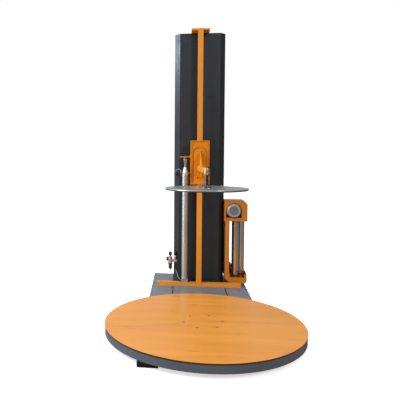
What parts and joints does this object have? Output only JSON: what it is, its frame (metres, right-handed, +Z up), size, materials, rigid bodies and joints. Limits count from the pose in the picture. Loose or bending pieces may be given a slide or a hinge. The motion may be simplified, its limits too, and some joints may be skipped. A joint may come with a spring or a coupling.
{
  "type": "turntable pallet wrapper with top press",
  "caption": "Stretch wrapper for pallets: round orange turntable, grey column with a film carriage on its side, and an air-driven top press on an orange mast.",
  "frame": {"origin": "on the floor, where the turntable's vertical axis meets the underside of the floor plate", "axes": "+Z up; +Y from the turntable to the column; +X to the side that carries the film carriage"},
  "size_m": [1.5, 2.379, 2.584],
  "materials": {
    "orange_paint": "satin powder coat",
    "dark_orange_paint": "satin powder coat",
    "charcoal_paint": "satin powder coat",
    "grey_paint": "satin powder coat",
    "black_paint": "satin enamel",
    "black_plastic": "moulded",
    "brushed_steel": "ground",
    "dark_steel": "oiled",
    "aluminium": "brushed",
    "rubber": "matt",
    "red_plastic": "gloss"
  },
  "bodies": {
    "base": {"base_frame": "black_paint", "base_cover_left": "grey_paint", "base_cover_right": "grey_paint", "base_cover_center": "grey_paint", "turntable_pivot_post": "dark_steel", "turntable_drive_chain": "dark_steel", "turntable_gearmotor": "grey_paint", "column_shell": "charcoal_paint", "column_top_cap": "charcoal_paint", "column_rear_cover": "charcoal_paint", "guide_rail_front": "dark_steel", "guide_rail_rear": "dark_steel", "lift_gearmotor": "grey_paint", "lift_chain": "dark_steel", "press_mast": "orange_paint", "mast_top_bracket": "orange_paint", "mast_crossbar": "orange_paint", "cylinder_barrel": "aluminium", "cylinder_head": "aluminium", "air_filter_regulator": "aluminium", "air_hose_upper": "rubber", "air_hose_lower": "rubber", "control_box": "grey_paint"},
    "turntable": {"turntable_plate": "orange_paint", "turntable_bolt_ring": "dark_steel", "turntable_skirt": "grey_paint", "turntable_spider": "black_paint", "turntable_sprocket": "dark_steel"},
    "table_drive": {"turntable_drive_sprocket": "dark_steel"},
    "support_wheel_1": {"support_wheel_1": "rubber"},
    "support_wheel_2": {"support_wheel_2": "rubber"},
    "support_wheel_3": {"support_wheel_3": "rubber"},
    "support_wheel_4": {"support_wheel_4": "rubber"},
    "lift_sprocket_lower": {"lift_sprocket_lower": "dark_steel"},
    "lift_sprocket_upper": {"lift_sprocket_upper": "dark_steel"},
    "film_carriage": {"film_trolley": "black_paint", "carriage_post": "dark_orange_paint", "carriage_bottom_box": "dark_orange_paint", "carriage_top_housing": "dark_orange_paint", "stretch_motor": "aluminium"},
    "trolley_wheel_front_lower": {"trolley_wheel_front_lower": "rubber"},
    "trolley_wheel_front_upper": {"trolley_wheel_front_upper": "rubber"},
    "trolley_wheel_rear_lower": {"trolley_wheel_rear_lower": "rubber"},
    "trolley_wheel_rear_upper": {"trolley_wheel_rear_upper": "rubber"},
    "stretch_front": {"stretch_roller_front": "brushed_steel", "stretch_gear_front": "dark_steel"},
    "stretch_rear": {"stretch_roller_rear": "brushed_steel", "stretch_gear_rear": "dark_steel"},
    "film_chuck_lower": {"film_chuck_lower": "black_plastic"},
    "film_chuck_upper": {"film_chuck_upper": "black_plastic"},
    "press_carriage": {"press_carriage": "orange_paint", "press_arm": "orange_paint", "cylinder_rod": "brushed_steel"},
    "press_roller_lower": {"press_roller_lower": "dark_steel"},
    "press_roller_upper": {"press_roller_upper": "dark_steel"},
    "press_head": {"press_shaft": "dark_steel", "press_disc": "aluminium", "press_pad": "rubber"},
    "regulator_knob": {"regulator_knob": "black_plastic"},
    "e_stop_button": {"e_stop_button": "red_plastic"}
  },
  "joints": [
    {"name": "turntable_spin", "type": "hinge", "parent": "base", "child": "turntable", "pos_m": [0, 0, 0], "axis": [0, 0, 1], "continuous": true},
    {"name": "table_drive_spin", "type": "hinge", "parent": "base", "child": "table_drive", "pos_m": [0, 1.29, 0], "axis": [0, 0, 1], "continuous": true},
    {"name": "support_wheel_1_spin", "type": "hinge", "parent": "base", "child": "support_wheel_1", "pos_m": [0.39598, 0.39598, 0.0707], "axis": [0.7071, 0.7071, 0], "continuous": true},
    {"name": "support_wheel_2_spin", "type": "hinge", "parent": "base", "child": "support_wheel_2", "pos_m": [-0.39598, 0.39598, 0.0707], "axis": [-0.7071, 0.7071, 0], "continuous": true},
    {"name": "support_wheel_3_spin", "type": "hinge", "parent": "base", "child": "support_wheel_3", "pos_m": [-0.39598, -0.39598, 0.0707], "axis": [-0.7071, -0.7071, 0], "continuous": true},
    {"name": "support_wheel_4_spin", "type": "hinge", "parent": "base", "child": "support_wheel_4", "pos_m": [0.39598, -0.39598, 0.0707], "axis": [0.7071, -0.7071, 0], "continuous": true},
    {"name": "film_lift", "type": "slide", "parent": "base", "child": "film_carriage", "axis": [0, 0, 1], "range_m": [0, 1.5]},
    {"name": "lift_sprocket_lower_spin", "type": "hinge", "parent": "base", "child": "lift_sprocket_lower", "pos_m": [0.14, 1.297, 0.19], "axis": [1, 0, 0], "range_deg": [-2490, 0]},
    {"name": "lift_sprocket_upper_spin", "type": "hinge", "parent": "base", "child": "lift_sprocket_upper", "pos_m": [0.14, 1.297, 2.44], "axis": [1, 0, 0], "range_deg": [-2490, 0]},
    {"name": "trolley_wheel_front_lower_spin", "type": "hinge", "parent": "film_carriage", "child": "trolley_wheel_front_lower", "pos_m": [0.163, 1.1663, 0.33], "axis": [1, 0, 0], "range_deg": [0, 4300]},
    {"name": "trolley_wheel_front_upper_spin", "type": "hinge", "parent": "film_carriage", "child": "trolley_wheel_front_upper", "pos_m": [0.163, 1.1663, 0.65], "axis": [1, 0, 0], "range_deg": [0, 4300]},
    {"name": "trolley_wheel_rear_lower_spin", "type": "hinge", "parent": "film_carriage", "child": "trolley_wheel_rear_lower", "pos_m": [0.163, 1.4277, 0.33], "axis": [1, 0, 0], "range_deg": [-4300, 0]},
    {"name": "trolley_wheel_rear_upper_spin", "type": "hinge", "parent": "film_carriage", "child": "trolley_wheel_rear_upper", "pos_m": [0.163, 1.4277, 0.65], "axis": [1, 0, 0], "range_deg": [-4300, 0]},
    {"name": "stretch_front_spin", "type": "hinge", "parent": "film_carriage", "child": "stretch_front", "pos_m": [0.359, 1.156, 0.4], "axis": [0, 0, 1], "continuous": true},
    {"name": "stretch_rear_spin", "type": "hinge", "parent": "film_carriage", "child": "stretch_rear", "pos_m": [0.4184, 1.2154, 0.4], "axis": [0, 0, 1], "continuous": true},
    {"name": "lower_chuck_spin", "type": "hinge", "parent": "film_carriage", "child": "film_chuck_lower", "pos_m": [0.388, 1.366, 0.25], "axis": [0, 0, 1], "continuous": true},
    {"name": "upper_chuck_lift", "type": "slide", "parent": "film_carriage", "child": "film_chuck_upper", "axis": [0, 0, 1], "range_m": [0, 0.03]},
    {"name": "press_lift", "type": "slide", "parent": "base", "child": "press_carriage", "axis": [0, 0, 1], "range_m": [0, 0.95]},
    {"name": "press_roller_lower_spin", "type": "hinge", "parent": "press_carriage", "child": "press_roller_lower", "pos_m": [0, 0.9857, 1.15], "axis": [1, 0, 0], "range_deg": [-2870, 0]},
    {"name": "press_roller_upper_spin", "type": "hinge", "parent": "press_carriage", "child": "press_roller_upper", "pos_m": [0, 1.0743, 1.467], "axis": [1, 0, 0], "range_deg": [0, 2870]},
    {"name": "press_head_spin", "type": "hinge", "parent": "press_carriage", "child": "press_head", "pos_m": [0.01568, 0.00013, 1.2], "axis": [0, 0, 1], "continuous": true},
    {"name": "regulator_knob_turn", "type": "hinge", "parent": "base", "child": "regulator_knob", "pos_m": [-0.279, 1.15, 0.38], "axis": [0, 0, 1], "range_deg": [-360, 360]},
    {"name": "e_stop_push", "type": "slide", "parent": "base", "child": "e_stop_button", "axis": [0, -1, 0], "range_m": [0, 0.006]}
  ],
  "couplings": [
    {"joint": "table_drive_spin", "follows": "turntable_spin", "ratio": 3},
    {"joint": "support_wheel_1_spin", "follows": "turntable_spin", "ratio": -22.4},
    {"joint": "support_wheel_2_spin", "follows": "turntable_spin", "ratio": -22.4},
    {"joint": "support_wheel_3_spin", "follows": "turntable_spin", "ratio": -22.4},
    {"joint": "support_wheel_4_spin", "follows": "turntable_spin", "ratio": -22.4},
    {"joint": "lift_sprocket_lower_spin", "follows": "film_lift", "rad_per_m": -28.937},
    {"joint": "lift_sprocket_upper_spin", "follows": "film_lift", "rad_per_m": -28.937},
    {"joint": "trolley_wheel_front_lower_spin", "follows": "film_lift", "rad_per_m": 50},
    {"joint": "trolley_wheel_front_upper_spin", "follows": "film_lift", "rad_per_m": 50},
    {"joint": "trolley_wheel_rear_lower_spin", "follows": "film_lift", "rad_per_m": -50},
    {"joint": "trolley_wheel_rear_upper_spin", "follows": "film_lift", "rad_per_m": -50},
    {"joint": "stretch_rear_spin", "follows": "stretch_front_spin", "ratio": -2.5},
    {"joint": "press_roller_lower_spin", "follows": "press_lift", "rad_per_m": -52.632},
    {"joint": "press_roller_upper_spin", "follows": "press_lift", "rad_per_m": 52.632}
  ]
}
